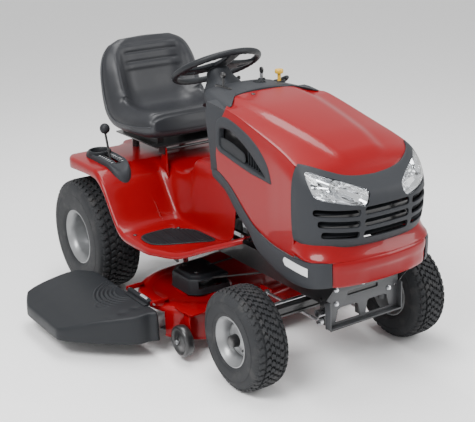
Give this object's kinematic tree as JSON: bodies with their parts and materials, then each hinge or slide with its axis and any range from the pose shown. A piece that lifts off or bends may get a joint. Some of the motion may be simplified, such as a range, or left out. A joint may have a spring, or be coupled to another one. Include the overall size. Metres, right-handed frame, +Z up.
{
  "type": "riding lawn mower",
  "caption": "Ride-on lawn tractor with a tilting hood, steered front axle, height-adjustable side-discharge mower deck, bucket seat and working hand and foot controls.",
  "frame": {"origin": "centre of the overall bounding box, on the ground the four tyres stand on", "axes": "+Z up, +Y towards the rear, so the front faces -Y; the operator's right hand and the discharge chute are towards -X"},
  "size_m": [1.383, 1.797, 1.1137],
  "materials": {
    "black_steel": "satin black paint",
    "gray_steel": "gray paint and bare steel",
    "red_paint": "gloss red enamel",
    "gray_plastic": "textured dark gray plastic",
    "dark_plastic": "satin near-black plastic",
    "cast_metal": "cast aluminium and iron, dull",
    "silver_steel": "zinc plated steel",
    "rim_paint": "silver paint",
    "tyre_rubber": "matte black rubber",
    "belt_rubber": "matte rubber",
    "tank_plastic": "translucent white moulded plastic",
    "reflector_chrome": "bright metallised",
    "lens_clear": "clear moulded",
    "seat_vinyl": "dark gray grained vinyl",
    "knob_yellow": "yellow plastic"
  },
  "bodies": {
    "chassis": {"frame_rails": "black_steel", "front_plate": "gray_steel", "hitch_plate": "black_steel", "fender_body": "red_paint", "foot_pads": "gray_plastic", "dash_tower": "gray_plastic", "fender_consoles": "gray_plastic", "engine_block": "cast_metal", "engine_shroud": "dark_plastic", "muffler": "silver_steel", "battery": "dark_plastic", "fuel_tank": "tank_plastic", "transaxle": "cast_metal", "drive_belt": "belt_rubber"},
    "hood": {"hood_shell": "red_paint", "side_vents": "gray_plastic", "lower_trims": "gray_plastic", "grille": "gray_plastic", "headlight_reflectors": "reflector_chrome", "headlight_lenses": "lens_clear", "front_bumper": "red_paint", "hood_hinge": "black_steel"},
    "steering": {"steering_wheel": "dark_plastic", "steering_shaft": "gray_steel"},
    "sector": {"sector_gear": "gray_steel"},
    "drag_link": {"drag_link": "silver_steel"},
    "tie_rod": {"tie_rod": "silver_steel"},
    "front_axle": {"front_axle": "black_steel"},
    "knuckle_left": {"spindle_left": "gray_steel"},
    "knuckle_right": {"spindle_right": "gray_steel"},
    "wheel_front_left": {"tyre_front_left": "tyre_rubber", "rim_front_left": "rim_paint"},
    "wheel_front_right": {"tyre_front_right": "tyre_rubber", "rim_front_right": "rim_paint"},
    "wheel_rear_left": {"tyre_rear_left": "tyre_rubber", "rim_rear_left": "rim_paint"},
    "wheel_rear_right": {"tyre_rear_right": "tyre_rubber", "rim_rear_right": "rim_paint"},
    "deck": {"mower_deck": "red_paint", "belt_covers": "dark_plastic", "mandrels": "cast_metal", "mower_belt": "belt_rubber", "lift_links": "silver_steel"},
    "chute": {"discharge_chute": "dark_plastic"},
    "gauge_left": {"gauge_wheel_left": "dark_plastic"},
    "gauge_right": {"gauge_wheel_right": "dark_plastic"},
    "cutter_left": {"blade_left": "gray_steel"},
    "cutter_right": {"blade_right": "gray_steel"},
    "crank_pulley": {"engine_pulley": "gray_steel"},
    "suspension_arms": {"rear_arms": "silver_steel"},
    "suspension_link": {"front_link": "silver_steel"},
    "lift_lever": {"lift_lever": "black_steel"},
    "seat_base": {"seat_pan": "black_steel"},
    "seat": {"seat_cushion": "seat_vinyl"},
    "shifter": {"shift_lever": "dark_plastic"},
    "brake": {"brake_pedal": "black_steel"},
    "park_brake": {"parking_brake": "black_steel"},
    "throttle": {"throttle_lever": "dark_plastic"},
    "key": {"ignition_key": "silver_steel"},
    "pto": {"pto_knob": "knob_yellow"}
  },
  "joints": [
    {"name": "hood_tilt", "type": "hinge", "parent": "chassis", "child": "hood", "pos_m": [0.1385, -0.7445, 0.35], "axis": [1, 0, 0], "range_deg": [0, 65]},
    {"name": "axle_pivot", "type": "hinge", "parent": "chassis", "child": "front_axle", "pos_m": [0.1385, -0.5525, 0.25], "axis": [0, 1, 0], "range_deg": [-4, 4]},
    {"name": "kingpin_left", "type": "hinge", "parent": "front_axle", "child": "knuckle_left", "pos_m": [0.4085, -0.5525, 0.245], "axis": [0, 0, 1], "range_deg": [-33, 33]},
    {"name": "kingpin_right", "type": "hinge", "parent": "front_axle", "child": "knuckle_right", "pos_m": [-0.1315, -0.5525, 0.245], "axis": [0, 0, 1], "range_deg": [-33, 33]},
    {"name": "steering_turn", "type": "hinge", "parent": "chassis", "child": "steering", "pos_m": [0.1385, 0.162, 1.019], "axis": [0, 0.4586, 0.8886], "range_deg": [-150, 150]},
    {"name": "sector_turn", "type": "hinge", "parent": "chassis", "child": "sector", "pos_m": [0.1385, -0.24694, 0.35752], "axis": [0, 0.4586, 0.8886], "range_deg": [-34, 34]},
    {"name": "drag_link_turn", "type": "hinge", "parent": "knuckle_left", "child": "drag_link", "pos_m": [0.4085, -0.4825, 0.264], "axis": [0, 0, 1], "range_deg": [-34, 34]},
    {"name": "tie_rod_turn", "type": "hinge", "parent": "knuckle_left", "child": "tie_rod", "pos_m": [0.4085, -0.4825, 0.246], "axis": [0, 0, 1], "range_deg": [-34, 34]},
    {"name": "front_left_wheel", "type": "hinge", "parent": "knuckle_left", "child": "wheel_front_left", "pos_m": [0.5075, -0.5525, 0.1905], "axis": [1, 0, 0], "continuous": true},
    {"name": "front_right_wheel", "type": "hinge", "parent": "knuckle_right", "child": "wheel_front_right", "pos_m": [-0.2305, -0.5525, 0.1905], "axis": [1, 0, 0], "continuous": true},
    {"name": "rear_left_wheel", "type": "hinge", "parent": "chassis", "child": "wheel_rear_left", "pos_m": [0.505, 0.6445, 0.254], "axis": [1, 0, 0], "continuous": true},
    {"name": "rear_right_wheel", "type": "hinge", "parent": "chassis", "child": "wheel_rear_right", "pos_m": [-0.228, 0.6445, 0.254], "axis": [1, 0, 0], "continuous": true},
    {"name": "deck_lift", "type": "slide", "parent": "chassis", "child": "deck", "axis": [0, 0, 1], "range_m": [-0.032, 0.032], "deforming": ["mower_belt"]},
    {"name": "lift_lever_swing", "type": "hinge", "parent": "chassis", "child": "lift_lever", "pos_m": [0.1385, 0.376, 0.33], "axis": [1, 0, 0], "range_deg": [-17, 17]},
    {"name": "suspension_arm_swing", "type": "hinge", "parent": "chassis", "child": "suspension_arms", "pos_m": [0.1385, 0.4765, 0.23], "axis": [1, 0, 0], "range_deg": [-8, 8]},
    {"name": "front_link_swing", "type": "hinge", "parent": "chassis", "child": "suspension_link", "pos_m": [0.1385, -0.6345, 0.205], "axis": [1, 0, 0], "range_deg": [-6, 6]},
    {"name": "chute_fold", "type": "hinge", "parent": "deck", "child": "chute", "pos_m": [-0.3585, 0.046, 0.199], "axis": [0, 1, 0], "range_deg": [0, 85]},
    {"name": "gauge_left_wheel", "type": "hinge", "parent": "deck", "child": "gauge_left", "pos_m": [0.6585, -0.244, 0.085], "axis": [1, 0, 0], "continuous": true},
    {"name": "gauge_right_wheel", "type": "hinge", "parent": "deck", "child": "gauge_right", "pos_m": [-0.3155, -0.244, 0.085], "axis": [1, 0, 0], "continuous": true},
    {"name": "blade_left_spin", "type": "hinge", "parent": "deck", "child": "cutter_left", "pos_m": [0.4215, 0.026, 0.1], "axis": [0, 0, 1], "continuous": true},
    {"name": "blade_right_spin", "type": "hinge", "parent": "deck", "child": "cutter_right", "pos_m": [-0.0785, -0.014, 0.1], "axis": [0, 0, 1], "continuous": true},
    {"name": "engine_pulley_spin", "type": "hinge", "parent": "chassis", "child": "crank_pulley", "pos_m": [0.1385, -0.3745, 0.325], "axis": [0, 0, 1], "continuous": true},
    {"name": "seat_tilt", "type": "hinge", "parent": "chassis", "child": "seat_base", "pos_m": [0.1385, 0.376, 0.65], "axis": [1, 0, 0], "range_deg": [0, 45]},
    {"name": "seat_slide", "type": "slide", "parent": "seat_base", "child": "seat", "axis": [0, 1, 0], "range_m": [-0.04, 0.04]},
    {"name": "shift_swing", "type": "hinge", "parent": "chassis", "child": "shifter", "pos_m": [-0.1915, 0.516, 0.575], "axis": [1, 0, 0], "range_deg": [-18, 18]},
    {"name": "brake_press", "type": "hinge", "parent": "chassis", "child": "brake", "pos_m": [0.3385, -0.074, 0.338], "axis": [1, 0, 0], "range_deg": [0, 20], "stiffness_Nm_per_rad": 3, "springref_deg": -34.38},
    {"name": "park_brake_pull", "type": "hinge", "parent": "chassis", "child": "park_brake", "pos_m": [0.2325, 0.134, 0.9], "axis": [1, 0, 0], "range_deg": [-20, 0]},
    {"name": "throttle_swing", "type": "hinge", "parent": "chassis", "child": "throttle", "pos_m": [0.0385, -0.044, 0.94], "axis": [1, 0, 0], "range_deg": [-20, 20]},
    {"name": "key_turn", "type": "hinge", "parent": "chassis", "child": "key", "pos_m": [0.2385, -0.014, 0.99], "axis": [0, 0, 1], "range_deg": [-90, 0]},
    {"name": "pto_pull", "type": "slide", "parent": "chassis", "child": "pto", "axis": [0, 0, 1], "range_m": [0, 0.012]}
  ],
  "couplings": [
    {"joint": "kingpin_right", "follows": "kingpin_left", "ratio": 1},
    {"joint": "sector_turn", "follows": "kingpin_left", "ratio": 1},
    {"joint": "steering_turn", "follows": "kingpin_left", "ratio": 4.5},
    {"joint": "drag_link_turn", "follows": "kingpin_left", "ratio": -1},
    {"joint": "tie_rod_turn", "follows": "kingpin_left", "ratio": -1},
    {"joint": "lift_lever_swing", "follows": "deck_lift", "rad_per_m": -9.0909},
    {"joint": "suspension_arm_swing", "follows": "deck_lift", "rad_per_m": -4.158},
    {"joint": "front_link_swing", "follows": "deck_lift", "rad_per_m": 2.9369},
    {"joint": "blade_right_spin", "follows": "blade_left_spin", "ratio": 1},
    {"joint": "engine_pulley_spin", "follows": "blade_left_spin", "ratio": 1.1465}
  ]
}
